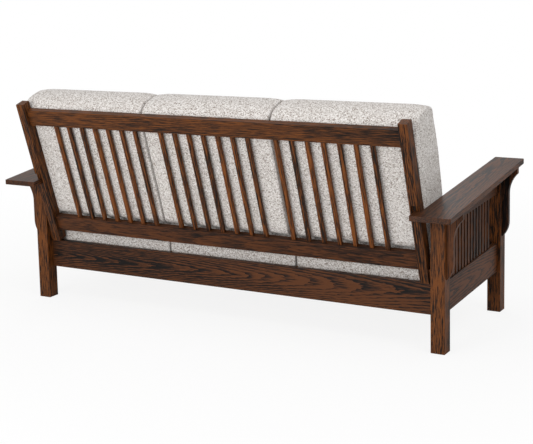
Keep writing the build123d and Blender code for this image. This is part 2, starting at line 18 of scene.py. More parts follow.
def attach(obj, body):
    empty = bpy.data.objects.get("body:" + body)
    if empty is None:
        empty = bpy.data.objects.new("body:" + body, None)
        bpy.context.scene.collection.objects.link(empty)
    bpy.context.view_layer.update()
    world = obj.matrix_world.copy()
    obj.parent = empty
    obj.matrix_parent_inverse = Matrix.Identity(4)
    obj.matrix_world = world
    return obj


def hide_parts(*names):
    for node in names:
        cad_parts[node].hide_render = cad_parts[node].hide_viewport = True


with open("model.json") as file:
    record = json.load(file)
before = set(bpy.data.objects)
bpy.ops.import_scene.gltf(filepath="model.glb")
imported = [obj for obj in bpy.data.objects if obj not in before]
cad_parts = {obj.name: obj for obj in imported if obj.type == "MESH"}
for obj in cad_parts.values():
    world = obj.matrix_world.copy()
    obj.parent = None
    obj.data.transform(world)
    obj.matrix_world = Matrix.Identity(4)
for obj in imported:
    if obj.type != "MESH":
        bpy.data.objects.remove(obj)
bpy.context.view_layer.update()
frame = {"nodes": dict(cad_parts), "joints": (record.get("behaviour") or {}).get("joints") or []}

MM = 0.001
scene = bpy.context.scene
nodes = frame["nodes"]

# %% [markdown]
# ## Directions
# The back leans, and the seat rises a little towards the front. Both slopes could be measured on the wood,
# but the joints already know them, because each loose cushion is drawn out along one. Taking them from
# there keeps every cushion true to the wood that it lies against.

# %% The directions of the back and of the seat
pull_axis = {joint["name"]: Vector(joint["axis"]).normalized() for joint in frame["joints"]}
ACROSS = Vector((1, 0, 0))
UP_BACK = pull_axis["back_cushion_middle_pull"]
OUT_OF_BACK = ACROSS.cross(UP_BACK)
SEAT_FORWARD = pull_axis["seat_cushion_middle_pull"]
SEAT_UP = SEAT_FORWARD.cross(ACROSS)
recline = math.atan2(UP_BACK.y, UP_BACK.z)
seat_rise = math.atan2(SEAT_FORWARD.z, -SEAT_FORWARD.y)
print("recline", round(math.degrees(recline), 2), "seat rise", round(math.degrees(seat_rise), 2))

# %% [markdown]
# ## The camera
# The photograph was taken from behind, from above the sofa's back, with a long lens. A camera could be
# aimed by eye until the picture fits, but its place and lens can also be worked out from a few corners whose
# real sizes are known, and that comes closer. The lens's axis runs above the picture's middle: that is what
# a small vertical shift does.

# %% Camera
PHOTO_SIZE = (533, 444)
AXIS_ROW = 142  # the picture row that the lens's axis goes through
CAMERA_PLACE = Vector((-2.6193, 4.4823, 1.4909))  # m
YAW, PITCH, ROLL = math.radians(-29.65), math.radians(-8.47), math.radians(-1.26)
FOCAL_PIXELS = 1236.84  # the focal length, in pixels of the photograph

look = Vector((-math.sin(YAW) * math.cos(PITCH), -math.cos(YAW) * math.cos(PITCH), math.sin(PITCH)))
level_right = look.cross(Vector((0, 0, 1))).normalized()
level_up = level_right.cross(look)
right = math.cos(ROLL) * level_right + math.sin(ROLL) * level_up
up = -math.sin(ROLL) * level_right + math.cos(ROLL) * level_up
camera_data = bpy.data.cameras.new("photo_camera")
camera_data.sensor_width = 36
camera_data.lens = camera_data.sensor_width * FOCAL_PIXELS / PHOTO_SIZE[0]
camera_data.shift_y = (AXIS_ROW - PHOTO_SIZE[1] / 2) / PHOTO_SIZE[0]
camera = bpy.data.objects.new("photo_camera", camera_data)
camera.matrix_world = Matrix.Translation(CAMERA_PLACE) @ Matrix((right, up, -look)).transposed().to_4x4()
scene.collection.objects.link(camera)
scene.camera = camera
print("lens", round(camera_data.lens, 2), "mm, shift", round(camera_data.shift_y, 3))

# %% [markdown]
# ## Two helpers
# Every finish below is a tree of nodes. Built by hand in the node editor, a tree is slow to repeat, so one
# small function adds a node, sets it and links it. Colours are chosen as they look on a screen, and another
# function turns them into the linear values that light is worked out with.

# %% A helper for colours, and one for nodes
def linear(hex_colour):
    """An sRGB colour such as '#3c261a' as linear red, green, blue and alpha."""
    parts = [int(hex_colour[i:i + 2], 16) / 255 for i in (1, 3, 5)]
    return [p / 12.92 if p <= 0.04045 else ((p + 0.055) / 1.055) ** 2.4 for p in parts] + [1.0]


def put(tree, kind, inputs=None, stops=(), **settings):
    """Adds a node. An input is a value, or an output to link from. Stops are a ramp's places and colours."""
    made = tree.nodes.new(kind)
    for name, value in settings.items():
        setattr(made, name, value)
    for name, value in (inputs or {}).items():
        if isinstance(value, bpy.types.NodeSocket):
            tree.links.new(value, made.inputs[name])
        else:
            made.inputs[name].default_value = value
    if stops:
        ramp = made.color_ramp.elements
        for element, (place, colour) in zip((ramp[0], ramp[1]), (stops[0], stops[-1])):
            element.position, element.color = place, linear(colour)
        for place, colour in stops[1:-1]:
            ramp.new(place).color = linear(colour)
    return made


def blank_material(name):
    """A material with an empty node tree."""
    made = bpy.data.materials.new(name)
    made.use_nodes = True
    made.node_tree.nodes.clear()
    return made


print("a middle grey", [round(value, 3) for value in linear("#808080")])

# %% [markdown]
# ## Light
# The photograph is a cut-out on white, in soft and even studio light. More light would make the background
# white too, but it would bleach the oak. So the world is white only to the rays of the camera, of gloss and
# of glass, and lights the sofa at a lower level. Four large lamps shape it: the main one behind the sofa,
# where the camera stands, one high at the near end, and dim ones at the front and overhead.

# %% World
WORLD_LEVEL = 0.57
WHITE = linear("#ffffff")
world = bpy.data.worlds.new("studio")
scene.world = world
world.use_nodes = True
tree = world.node_tree
tree.nodes.clear()
rays = put(tree, "ShaderNodeLightPath").outputs
seen = rays["Is Camera Ray"]
for kind in ("Is Glossy Ray", "Is Transmission Ray"):
    seen = put(tree, "ShaderNodeMath", {0: seen, 1: rays[kind]}, operation="MAXIMUM").outputs[0]
soft = put(tree, "ShaderNodeBackground", {"Color": WHITE, "Strength": WORLD_LEVEL})
white = put(tree, "ShaderNodeBackground", {"Color": WHITE, "Strength": 1.0})
mixed = put(tree, "ShaderNodeMixShader", {0: seen, 1: soft.outputs[0], 2: white.outputs[0]})
put(tree, "ShaderNodeOutputWorld", {"Surface": mixed.outputs[0]})
print("world level", WORLD_LEVEL)

# %% Lamps
MIDDLE_OF_SOFA = Vector((0, 0, 0.45))


def soft_lamp(name, place, size, watts):
    """A square lamp that faces the middle of the sofa."""
    data = bpy.data.lights.new(name, "AREA")
    data.size = size
    data.energy = watts
    lamp = bpy.data.objects.new(name, data)
    lamp.location = place
    lamp.rotation_euler = (MIDDLE_OF_SOFA - Vector(place)).to_track_quat("-Z", "Y").to_euler()
    scene.collection.objects.link(lamp)
    print(name, size, "m", watts, "W")


soft_lamp("overhead", place=(0.3, 1.0, 3.6), size=2.6, watts=16)
soft_lamp("behind", place=(0.6, 4.7, 1.6), size=2.4, watts=104)
soft_lamp("high_side", place=(-3.4, 1.2, 3.4), size=2.0, watts=40)
soft_lamp("front_fill", place=(1.8, -3.4, 2.0), size=2.4, watts=25)

# %% [markdown]
# ## Floor
# A studio floor is a roll of matt white paper. A floor that is only paper would look grey beside the white
# world, and one that is only white would leave the sofa hanging without a shadow. So most of what the camera
# sees of it is plain white, and the rest is lit paper, which keeps the shadow. Further out the white takes
# over, and the floor's edge never shows.

# %% Floor
FLOOR_SIZE = 40.0  # m
FLOOR_WHITE = (0.86, 1.0)  # how much of what the camera sees is plain white, near and far
FLOOR_FADE = (1.3, 3.2)  # m from the middle, over which that changes
half = FLOOR_SIZE / 2
floor_mesh = bpy.data.meshes.new("floor")
corners = [(-half, -half, 0), (half, -half, 0), (half, half, 0), (-half, half, 0)]
floor_mesh.from_pydata(corners, [], [(0, 1, 2, 3)])
floor = bpy.data.objects.new("floor", floor_mesh)
scene.collection.objects.link(floor)

paper = blank_material("studio_paper")
tree = paper.node_tree
from_camera = put(tree, "ShaderNodeLightPath").outputs["Is Camera Ray"]
place = put(tree, "ShaderNodeTexCoord").outputs["Object"]
distance = put(tree, "ShaderNodeVectorMath", {0: place}, operation="LENGTH").outputs["Value"]
near_far = put(tree, "ShaderNodeMapRange", {
    "Value": distance, "From Min": FLOOR_FADE[0], "From Max": FLOOR_FADE[1],
    "To Min": FLOOR_WHITE[0], "To Max": FLOOR_WHITE[1],
})
share = put(tree, "ShaderNodeMath", {0: from_camera, 1: near_far.outputs[0]}, operation="MULTIPLY")
lit = put(tree, "ShaderNodeBsdfDiffuse", {"Color": linear("#f4f4f4")})
plain = put(tree, "ShaderNodeEmission", {"Color": WHITE, "Strength": 1.0})
mixed = put(tree, "ShaderNodeMixShader", {0: share.outputs[0], 1: lit.outputs[0], 2: plain.outputs[0]})
put(tree, "ShaderNodeOutputMaterial", {"Surface": mixed.outputs[0]})
floor_mesh.materials.append(paper)
print("floor", FLOOR_SIZE, "m, white", FLOOR_WHITE)

# %% [markdown]
# ## Oak
# The wood is flat-sawn red oak under a dark brown stain and a satin lacquer. The stain sinks into the open
# pores of the early wood, which turns nearly black, while the late wood keeps an orange brown. That gives
# long arches on a wide board and straight streaks on a post. A picture of wood could be wrapped round each
# board, but it would repeat, and end grain would never match. So the rings are worked out in the solid: a
# board is a cut through rings about a pith, with fibres along them, and the arches come by themselves. The
# pattern lies in a board's own directions, grain along X, so one recipe serves every board once it is turned.

# %% Stains, and the sizes in the wood
STAIN = ("#0d0704", "#311d10", "#683a16")  # pores, body and late wood
SHADED_STAIN = ("#0c0705", "#2a180e", "#553017")  # painted shade: darker stain where less light falls
LIT_STAIN = ("#150c07", "#432612", "#744017")  # painted light: lighter stain for the lit back slats
WASHED = ("#5a3d2a", "#86634a", "#a5825f")  # hidden boards, which only had a thin wash of stain
STAIN_LEVELS = (0.33, 0.44, 0.64)  # how high in the grain the three colours stand
RING_SPACING = 5.4  # mm; a real ring is 3 to 5 mm, drawn as coarse as it needs to show here
FIBRE_WIDTH = 4.6  # mm; real fibres are under 1 mm, drawn coarser for the same reason
FIBRE_LENGTH = 75.0  # mm
FIBRE_DETAIL = 3.0
FIBRE_ROUGHNESS = 0.75  # of the noise that draws them: finer fibres nearly as strong as wide ones
PORE_DEPTH = 0.5  # mm
PORE_STRENGTH = 0.2
print("rings", RING_SPACING, "mm apart, fibres", FIBRE_WIDTH, "mm wide")

# %% Noise that is drawn out along the grain
WANDER = 4.5  # mm that a ring wanders from its place
WANDER_SIZE = (1000 / 1.4, 1000 / 14)  # mm along and across the grain: 1.4 bends to the metre, and 14
FRAY = 1.0  # mm that a ring's edge is frayed
FRAY_SIZE = (1000 / 22, 1000 / 150)  # mm: 22 frays to the metre along the grain, and 150 across it
TONE_SIZE = (1000 / 1.2, 1000 / 14)  # mm over which the stain's depth changes
NOISE_REACH = 0.25  # how far noise usually lies from its middle of a half


def grained_noise(tree, vector, size, detail, roughness=0.6):
    """Noise whose lumps have a size along and across the grain, in mm."""
    along, across = (1 / (length * MM) for length in size)
    stretched = put(tree, "ShaderNodeMapping", {"Vector": vector, "Scale": (along, across, across)})
    return put(tree, "ShaderNodeTexNoise", {
        "Vector": stretched.outputs[0], "Scale": 1.0, "Detail": detail, "Roughness": roughness,
    })


def bent(tree, vector):
    """A board's places, moved a little so that its rings wander and their edges fray."""
    moved = vector
    for amount, size in ((WANDER, WANDER_SIZE), (FRAY, FRAY_SIZE)):
        change = grained_noise(tree, vector, size, detail=1.0).outputs["Color"]
        centred = put(tree, "ShaderNodeVectorMath", {0: change, 1: (0.5, 0.5, 0.5)}, operation="SUBTRACT")
        reach = (amount * MM / NOISE_REACH,) * 3
        further = put(tree, "ShaderNodeVectorMath", {0: centred.outputs[0], 1: reach, 2: moved},
                      operation="MULTIPLY_ADD")
        moved = further.outputs[0]
    return moved


print("rings wander", WANDER, "mm and fray", FRAY, "mm")

# %% Rings and fibres
WAVES_AT_ONE = 20 / (2 * math.pi)  # rings in one unit of the ring pattern at scale 1
SIDE_TILT = 0.4  # a board is tilted sideways to its pith too, by this share of its tilt


def rings_about(tree, vector, pith, tilt):
    """Growth rings about a pith, which leaves the board's line by an angle."""
    from_pith = put(tree, "ShaderNodeVectorMath", {0: bent(tree, vector), 1: pith}, operation="SUBTRACT")
    turn = (0, tilt * SIDE_TILT, tilt)
    tilted = put(tree, "ShaderNodeMapping", {"Vector": from_pith.outputs[0], "Rotation": turn})
    scale = 1 / (RING_SPACING * MM * WAVES_AT_ONE)
    rings = put(tree, "ShaderNodeTexWave", {"Vector": tilted.outputs[0], "Scale": scale},
                wave_type="RINGS", rings_direction="X", wave_profile="SAW")
    return rings.outputs["Fac"]


def fibres_along(tree, vector, streaks):
    """Fibres, with so many times their own contrast."""
    fibres = grained_noise(tree, vector, (FIBRE_LENGTH, FIBRE_WIDTH), FIBRE_DETAIL, FIBRE_ROUGHNESS)
    strong = put(tree, "ShaderNodeMath", {0: fibres.outputs["Fac"], 1: streaks, 2: 0.5 - streaks / 2},
                 operation="MULTIPLY_ADD")
    return strong.outputs[0]


print("ring scale", round(1 / (RING_SPACING * MM * WAVES_AT_ONE), 2))


# %% The oak recipe
def board_place(tree, both_sides):
    """A place on the sofa. Pieces that stand at both of its ends are cut as mirrors of each other."""
    place = put(tree, "ShaderNodeTexCoord").outputs["Object"]
    if not both_sides:
        return place
    parts = put(tree, "ShaderNodeSeparateXYZ", {0: place}).outputs
    outwards = put(tree, "ShaderNodeMath", {0: parts["X"]}, operation="ABSOLUTE").outputs[0]
    return put(tree, "ShaderNodeCombineXYZ", {0: outwards, 1: parts["Y"], 2: parts["Z"]}).outputs[0]


def stain_level(tree, turned, grain, tone_share):
    """How far up the stain's colours a place is: its grain, and a slow change of tone along the board."""
    tone = grained_noise(tree, turned, TONE_SIZE, detail=0.0).outputs["Fac"]
    toned = put(tree, "ShaderNodeMath", {0: tone, 1: tone_share, 2: grain}, operation="MULTIPLY_ADD")
    level = put(tree, "ShaderNodeMath", {0: toned.outputs[0], 1: tone_share / 2}, operation="SUBTRACT")
    return level.outputs[0]


def oak(name, turn, pith, tilt=0.05, ring_share=0.4, tone_share=0.4, streaks=2.4, colours=STAIN,
        roughness=0.5, gloss=0.15, both_sides=True):
    """Stained oak. Turn brings the grain to X, and the pith, in metres, is in those turned directions."""
    made = blank_material(name)
    tree = made.node_tree
    place = board_place(tree, both_sides)
    turned = put(tree, "ShaderNodeMapping", {"Vector": place, "Rotation": turn}).outputs[0]
    rings = rings_about(tree, turned, pith, tilt)
    fibres = fibres_along(tree, turned, streaks)
    grain = put(tree, "ShaderNodeMix", {0: ring_share, 2: fibres, 3: rings}, data_type="FLOAT").outputs[0]
    level = stain_level(tree, turned, grain, tone_share)
    colour = put(tree, "ShaderNodeValToRGB", {"Fac": level}, stops=list(zip(STAIN_LEVELS, colours)))
    pores = put(tree, "ShaderNodeBump", {
        "Height": grain, "Strength": PORE_STRENGTH, "Distance": PORE_DEPTH * MM,
    })
    shader = put(tree, "ShaderNodeBsdfPrincipled", {
        "Base Color": colour.outputs["Color"], "Normal": pores.outputs[0],
        "Roughness": roughness, "Specular IOR Level": gloss,
    })
    put(tree, "ShaderNodeOutputMaterial", {"Surface": shader.outputs[0]})
    print(name, "tilt", tilt, "rings", ring_share)
    return made


# %% [markdown]
# ### One oak for each kind of board
# Boards from one log still differ: a post shows straight streaks, because its pith is some way off and
# nearly in line with it, and an apron shows arches, because its pith lies near it at a slight angle. One
# material for all would look printed on. So each kind of board gets the same recipe with its own turn, pith
# and tilt. The lacquer keeps the shader's usual index, and its gloss is low because it is rubbed down.

# %% Turns
QUARTER = math.pi / 2
ARM_REAR_TOP, ARM_FRONT_TOP, ARM_LENGTH = 549.5, 643.0, 842.0  # mm
arm_rise = math.atan2(ARM_FRONT_TOP - ARM_REAR_TOP, ARM_LENGTH)
ALONG = (0, 0, 0)  # the grain runs from end to end of the sofa
UPRIGHT = (0, QUARTER, 0)
TO_FRONT = (seat_rise, 0, -QUARTER)  # forwards, and up as the seat does
UP_THE_ARM = (arm_rise, 0, -QUARTER)
LEANING = (recline, QUARTER, 0)  # up the back
ALONG_BACK = (-recline, 0, 0)  # end to end on a board that leans
print("arms rise", round(math.degrees(arm_rise), 2), "degrees")

# %% Posts, slats and corbels
# The corbels and side slats take the darker stain, as painted shade.
oak_kinds = {
    "legs": oak("stained_oak_legs", UPRIGHT, pith=(0, 0.34, -0.80), tilt=0.015, ring_share=0.25, streaks=4.4),
    "corbels": oak("stained_oak_corbels", UPRIGHT, pith=(0, 0.16, -0.90), tilt=0.02, ring_share=0.3,
                   tone_share=0.6, colours=SHADED_STAIN),
    "side_slats": oak("stained_oak_side_slats", UPRIGHT, pith=(0, 0.1, -0.7), tilt=0.01, ring_share=0.15,
                      tone_share=0.6, colours=SHADED_STAIN),
    "stiles": oak("stained_oak_stiles", LEANING, pith=(0, 0.3, -0.75), tilt=0.015, ring_share=0.35,
                  streaks=3.4),
    # The back's slats take the lighter stain, as painted light.
    "back_slats": oak("stained_oak_back_slats", LEANING, pith=(0, 0.3, 0.2), tilt=0.01, ring_share=0.15,
                      tone_share=0.5, colours=LIT_STAIN, both_sides=False),
}

# %% Aprons, rails and arms
# The rear apron, low rail, side rails and arms take the darker stain, as painted shade.
oak_kinds.update({
    "rear_apron": oak("stained_oak_rear_apron", ALONG, pith=(0, 0.188, 0.203), tilt=-0.042, ring_share=0.56,
                      tone_share=0.7, streaks=3.2, colours=SHADED_STAIN, both_sides=False),
    "front_apron": oak("stained_oak_front_apron", ALONG, pith=(0, -0.36, 0.215), tilt=0.035, ring_share=0.6,
                       both_sides=False),
    "back_rails": oak("stained_oak_back_rails", ALONG_BACK, pith=(0, 0.0, 0.5), tilt=0.02, ring_share=0.2,
                      tone_share=0.25, streaks=1.4, both_sides=False),
    "low_rail": oak("stained_oak_low_rail", ALONG_BACK, pith=(0, 0.0, 0.5), tilt=0.02, ring_share=0.2,
                    tone_share=0.25, streaks=1.6, colours=SHADED_STAIN, both_sides=False),
    "side_rails": oak("stained_oak_side_rails", TO_FRONT, pith=(0, -0.9, 0.21), tilt=0.035, ring_share=0.62,
                      tone_share=0.6, streaks=2.6, colours=SHADED_STAIN),
    "arms": oak("stained_oak_arms", UP_THE_ARM, pith=(0, -0.96, 0.50), tilt=0.04, colours=SHADED_STAIN,
                roughness=0.46, gloss=0.18),
    "inside": oak("plain_oak_inside", TO_FRONT, pith=(0, 0, 0.1), colours=WASHED, roughness=0.6),
})

# %% [markdown]
# ### Beech and zinc for the hidden fastenings
# Dowels are turned beech, pale and even with tiny flecks. Screws are steel with a bright zinc plating, which
# sets in a faint grey mottle. They could have a recipe each, but both are nearly always hidden, so one small
# recipe serves them: a quiet mottle of two close colours.

# %% Beech and zinc
def mottled(name, colours, fleck, roughness, metallic):
    """A material with flecks of two close colours, so many mm wide."""
    made = blank_material(name)
    tree = made.node_tree
    place = put(tree, "ShaderNodeTexCoord").outputs["Object"]
    flecks = put(tree, "ShaderNodeTexNoise", {"Vector": place, "Scale": 1 / (fleck * MM)}).outputs["Fac"]
    colour = put(tree, "ShaderNodeValToRGB", {"Fac": flecks}, stops=list(zip((0.0, 1.0), colours))).outputs[0]
    shader = put(tree, "ShaderNodeBsdfPrincipled", {
        "Base Color": colour, "Roughness": roughness, "Metallic": metallic,
    })
    put(tree, "ShaderNodeOutputMaterial", {"Surface": shader.outputs[0]})
    print(name, "flecks", round(fleck, 2), "mm")
    return made


beech = mottled("turned_beech", ("#b98d62", "#d3ab80"), fleck=2.5, roughness=0.6, metallic=0.0)
zinc = mottled("zinc_plated_steel", ("#9a9a98", "#c4c4c0"), fleck=1000 / 700, roughness=0.35, metallic=1.0)

# %% Give every wooden node its finish
kind_by_start = {
    "leg_": "legs", "corbel_": "corbels", "arm_": "arms",
    "rear_apron": "rear_apron", "front_apron": "front_apron",
    "side_rail_": "side_rails", "upper_side_rail_": "side_rails", "side_slats_": "side_slats",
    "back_stile_": "stiles", "stile_spacer_": "stiles", "back_slat_": "back_slats",
    "top_back_rail": "back_rails", "lower_back_rail": "low_rail",
}


def finish_of(name):
    """The finish of a CAD node, by its name."""
    if "dowels" in name:
        return beech
    if "screws" in name:
        return zinc
    kinds = [kind for start, kind in kind_by_start.items() if name.startswith(start)]
    return oak_kinds[kinds[0] if kinds else "inside"]


wooden = [name for name in nodes if "cushion" not in name]
for name in wooden:
    for material_slot in nodes[name].material_slots:
        material_slot.material = finish_of(name)
print("wooden nodes", len(wooden))

# %% [markdown]
# ## Tweed
# The cushions wear a light, warm grey tweed: a chunky plain weave of mottled woollen yarn, off-white with
# grey and brown flecks. Every thread could be modelled, but at this distance one is smaller than a pixel.
# So we draw cells in rows, one for each place where a yarn comes to the surface, and dye each by chance.
# Wool has no gloss, so the cloth is rough, with a little sheen from its fluff.

# %% Tweed
YARN_WIDTH = 3.1  # mm; the real yarn is about 2 mm, drawn as coarse as it needs to show
YARN_STRETCH = 0.8  # a cell is a quarter longer across the sofa than it is high
UNEVEN = 0.6  # how far the cells leave their rows, from 0 to 1
tweed = blank_material("woven_tweed")
tree = tweed.node_tree
place = put(tree, "ShaderNodeTexCoord").outputs["Object"]
rows = put(tree, "ShaderNodeMapping", {
    "Vector": place, "Rotation": (recline, 0, 0), "Scale": (YARN_STRETCH, 1, 1),
})
yarns = put(tree, "ShaderNodeTexVoronoi", {
    "Vector": rows.outputs[0], "Scale": 1 / (YARN_WIDTH * MM), "Randomness": UNEVEN,
})
print("tweed yarn", YARN_WIDTH, "mm")

# %% The tweed's dye, fluff and surface
FLUFF_WIDTH = 2 * YARN_WIDTH  # mm
FLUFF_SHARE = 0.5  # how much it changes a yarn's own dye
YARN_STOPS = ((0.0, "#7c7169"), (0.2, "#aca49d"), (0.42, "#c6c0bb"), (1.0, "#e3e0dd"))
WEAVE_DEPTH = 1.0  # mm
WEAVE_STRENGTH = 0.3
dyed = put(tree, "ShaderNodeSeparateXYZ", {0: yarns.outputs["Color"]}).outputs[0]
fluff = put(tree, "ShaderNodeTexNoise", {"Vector": place, "Scale": 1 / (FLUFF_WIDTH * MM), "Detail": 3.0})
both = put(tree, "ShaderNodeMath", {0: fluff.outputs["Fac"], 1: FLUFF_SHARE, 2: dyed},
           operation="MULTIPLY_ADD")
level = put(tree, "ShaderNodeMath", {0: both.outputs[0], 1: FLUFF_SHARE / 2}, operation="SUBTRACT")
colour = put(tree, "ShaderNodeValToRGB", {"Fac": level.outputs[0]}, stops=YARN_STOPS)
weave = put(tree, "ShaderNodeBump", {
    "Height": yarns.outputs["Distance"], "Strength": WEAVE_STRENGTH, "Distance": WEAVE_DEPTH * MM,
})
shader = put(tree, "ShaderNodeBsdfPrincipled", {
    "Base Color": colour.outputs["Color"], "Normal": weave.outputs[0], "Roughness": 0.95,
    "Specular IOR Level": 0.2, "Sheen Weight": 0.15,
})
put(tree, "ShaderNodeOutputMaterial", {"Surface": shader.outputs[0]})
print("dyes", [colour for _, colour in YARN_STOPS])

# %% [markdown]
# ## The cushions
# Each cushion is a fabric case over foam wrapped in fibre: flat where it lies against wood, full where it is
# free. A rounded box with a few soft edges would be quick, but it shows no end panels and no seams. So we
# sew the case as an upholsterer does: one long panel goes round the cushion's outline, from end panel to end
# panel, and is a little lower near its ends. The room for it is measured on its CAD solid.

# %% Room for a cushion
def point_values(mesh, kind="co"):
    """The places of a mesh's points, or with kind 'normal' their normals."""
    values = np.empty(len(mesh.vertices) * 3)
    mesh.vertices.foreach_get(kind, values)
    return values.reshape(-1, 3)


def room(name, forward, upward):
    """Lowest and highest values of a CAD node across, along forward and along upward, in mm."""
    points = point_values(nodes[name].data)
    measured = [points @ np.array(direction) / MM for direction in (ACROSS, forward, upward)]
    return [(float(m.min()), float(m.max())) for m in measured]


for name, axes in (("back_cushion_middle", (OUT_OF_BACK, UP_BACK)),
                   ("seat_cushion_middle", (SEAT_FORWARD, SEAT_UP))):
    print(name, [[round(v, 1) for v in pair] for pair in room(name, *axes)])

# %% Outlines
OUTLINE_STEP = 9.0  # mm between an outline's points on a straight side
CORNER_POINTS = 9
NEARLY_NOTHING = 1e-9  # the least length that anything is divided by


def rounded(start, corner, end):
    """Points of a smooth corner, without its last one."""
    steps = [i / CORNER_POINTS for i in range(CORNER_POINTS)]
    return [start * (1 - t) ** 2 + corner * 2 * t * (1 - t) + end * t ** 2 for t in steps]


def outline(corners, bulges):
    """A closed outline in mm. A corner is (forward, up, cut before, cut after); a side may bulge outwards."""
    places = [np.array(corner[:2]) for corner in corners]
    points = []
    for i, here in enumerate(places):
        following = (i + 1) % len(corners)
        before, after = places[i - 1], places[following]
        back = (before - here) / np.linalg.norm(before - here)
        on = (after - here) / np.linalg.norm(after - here)
        points += rounded(here + back * corners[i][2], here, here + on * corners[i][3])
        start, end = here + on * corners[i][3], after - on * corners[following][2]
        pieces = max(2, int(np.linalg.norm(end - start) / OUTLINE_STEP))
        outwards = np.array((on[1], -on[0]))
        for t in (k / pieces for k in range(pieces)):
            points.append(start + (end - start) * t + outwards * bulges[i] * 4 * t * (1 - t))
    return np.array(points)


print("a rounded corner has", CORNER_POINTS, "points")

# %% An outline near the ends of a case
EDGE_ROUND = 5.0  # mm, where an end panel meets the rest of the case
END_DROP = 7.0  # mm that the free sides are lower near the end panels
END_RUN = 80.0  # mm over which they drop
FREE_GAIN = 1.3  # a side that faces within 40 degrees of forwards or of up counts as wholly free


def outward_normals(points):
    """The directions in which an outline's points face."""
    along = np.roll(points, -1, axis=0) - np.roll(points, 1, axis=0)
    normals = np.stack((along[:, 1], -along[:, 0]), axis=1)
    return normals / np.maximum(np.linalg.norm(normals, axis=1), NEARLY_NOTHING)[:, None]


def drawn_in(points, distance):
    """The outline so many mm from the end panel: rounded close to it, and lower on its free sides."""
    normals = outward_normals(points)
    free = np.clip(normals.max(axis=1) * FREE_GAIN, 0, 1)[:, None]
    depth = END_DROP * max(0.0, 1 - distance / END_RUN) ** 2 * free
    if distance < EDGE_ROUND:
        depth = depth + EDGE_ROUND - math.sqrt(EDGE_ROUND ** 2 - (EDGE_ROUND - distance) ** 2)
    return points - normals * depth


print("a free side drops", END_DROP, "mm at the ends, over", END_RUN, "mm")

# %% A sewn case
PANEL_DISH = 3.0  # mm that an end panel is drawn in at its middle
PANEL_RINGS = (0.85, 0.6, 0.3)  # rings of points on it, as shares of its outline
END_STATIONS = (0, 0.6, 2, 4, 8, 14, 22, 34, 48, 66)  # mm from the end panel
MIDDLE_STATIONS = 13  # from where the drop ends to the middle of the case


def join(made, first, second):
    """A band of faces between two rings of points."""
    for i in range(len(first)):
        j = (i + 1) % len(first)
        made.faces.new((first[i], first[j], second[j], second[i]))


def end_panel(made, ring, points, place, x, side):
    """Closes the case at one end, from its last ring to a middle that is drawn in."""
    centre = points.mean(axis=0)
    edge = drawn_in(points, 0)
    for share in PANEL_RINGS:
        dish = PANEL_DISH * (1 - share) * side
        smaller = [made.verts.new(place(x + dish, centre + (p - centre) * share)) for p in edge]
        join(made, smaller, ring)
        ring = smaller
    tip = made.verts.new(place(x + PANEL_DISH * side, centre))
    for i in range(len(ring)):
        made.faces.new((ring[(i + 1) % len(ring)], ring[i], tip))


def sewn_case(name, ends, points, place):
    """A closed case: the outline carried from end to end. Place gives where a point of it is, in metres."""
    low, high = ends
    distances = [*END_STATIONS, *np.linspace(END_RUN, (high - low) / 2, MIDDLE_STATIONS)]
    stations = [(low + d, d) for d in distances] + [(high - d, d) for d in reversed(distances[:-1])]
    made = bmesh.new()
    rings = [[made.verts.new(place(x, p)) for p in drawn_in(points, d)] for x, d in stations]
    for first, second in zip(rings, rings[1:]):
        join(made, first, second)
    end_panel(made, rings[0], points, place, low, 1)
    end_panel(made, rings[-1], points, place, high, -1)
    bmesh.ops.recalc_face_normals(made, faces=made.faces)
    mesh = bpy.data.meshes.new(name)
    made.to_mesh(mesh)
    made.free()
    mesh.shade_smooth()
    mesh.materials.append(tweed)
    piece = bpy.data.objects.new(name, mesh)
    scene.collection.objects.link(piece)
    return piece


print("rings of points in a case", 2 * (len(END_STATIONS) + MIDDLE_STATIONS) - 1)

# %% What is known of each cushion
SHRINK = 1.5  # mm that an end panel stands back before the case is blown up
cushions = {}


def straight(x, p):
    """The place across of a point on a case whose ends don't lean."""
    return x


def sew(node_name, across, shape, directions, walls, fill, lean=straight, firm_foot=False):
    """Sews one cushion's case. A wall is a direction and how far along it the cushion may begin, in mm."""
    forward, upward = directions

    def place(x, p):
        return (ACROSS * lean(x, p) + forward * p[0] + upward * p[1]) * MM

    ends = (across[0] + SHRINK, across[1] - SHRINK)
    piece = sewn_case(f"tweed_{node_name}", ends, shape, place)
    cushions[node_name] = {
        "piece": piece, "across": across, "ends": ends, "shape": shape, "place": place, "lean": lean,
        "directions": directions, "walls": walls, "fill": fill, "firm_foot": firm_foot,
    }
    print(piece.name, "faces", len(piece.data.polygons))


print("end panels stand back", SHRINK, "mm")

# %% [markdown]
# ### Back cushions
# Seen from behind, a back cushion is flat against the rails, and rolls over in one wide curve above the top
# rail. Its foot is cut to lie on the seat, so its front is longer than its rear. Each could be a copy of the
# middle one, but the two outer ones swell a little over the arms, where nothing holds them in. So all three
# are sewn alike, and a small function leans the outer ends out.

# %% The lean of an outer cushion
SWELL = 15.0  # mm that the outer cushions swell over the arms, at their tops
SWELL_FROM = 560.0  # mm up the back, where that begins


def over_arm(across, top, outward):
    """How the outer half of an outer cushion leans out, more towards its top. Outward is -1, 0 or 1."""
    middle = (across[0] + across[1]) / 2
    half = (across[1] - across[0]) / 2

    def lean(x, p):
        reach = max(0.0, (x - middle) * outward / half) ** 2
        return x + outward * SWELL * reach * max(0.0, (p[1] - SWELL_FROM) / (top - SWELL_FROM))

    return lean


print("swell", SWELL, "mm from", SWELL_FROM, "mm up the back")

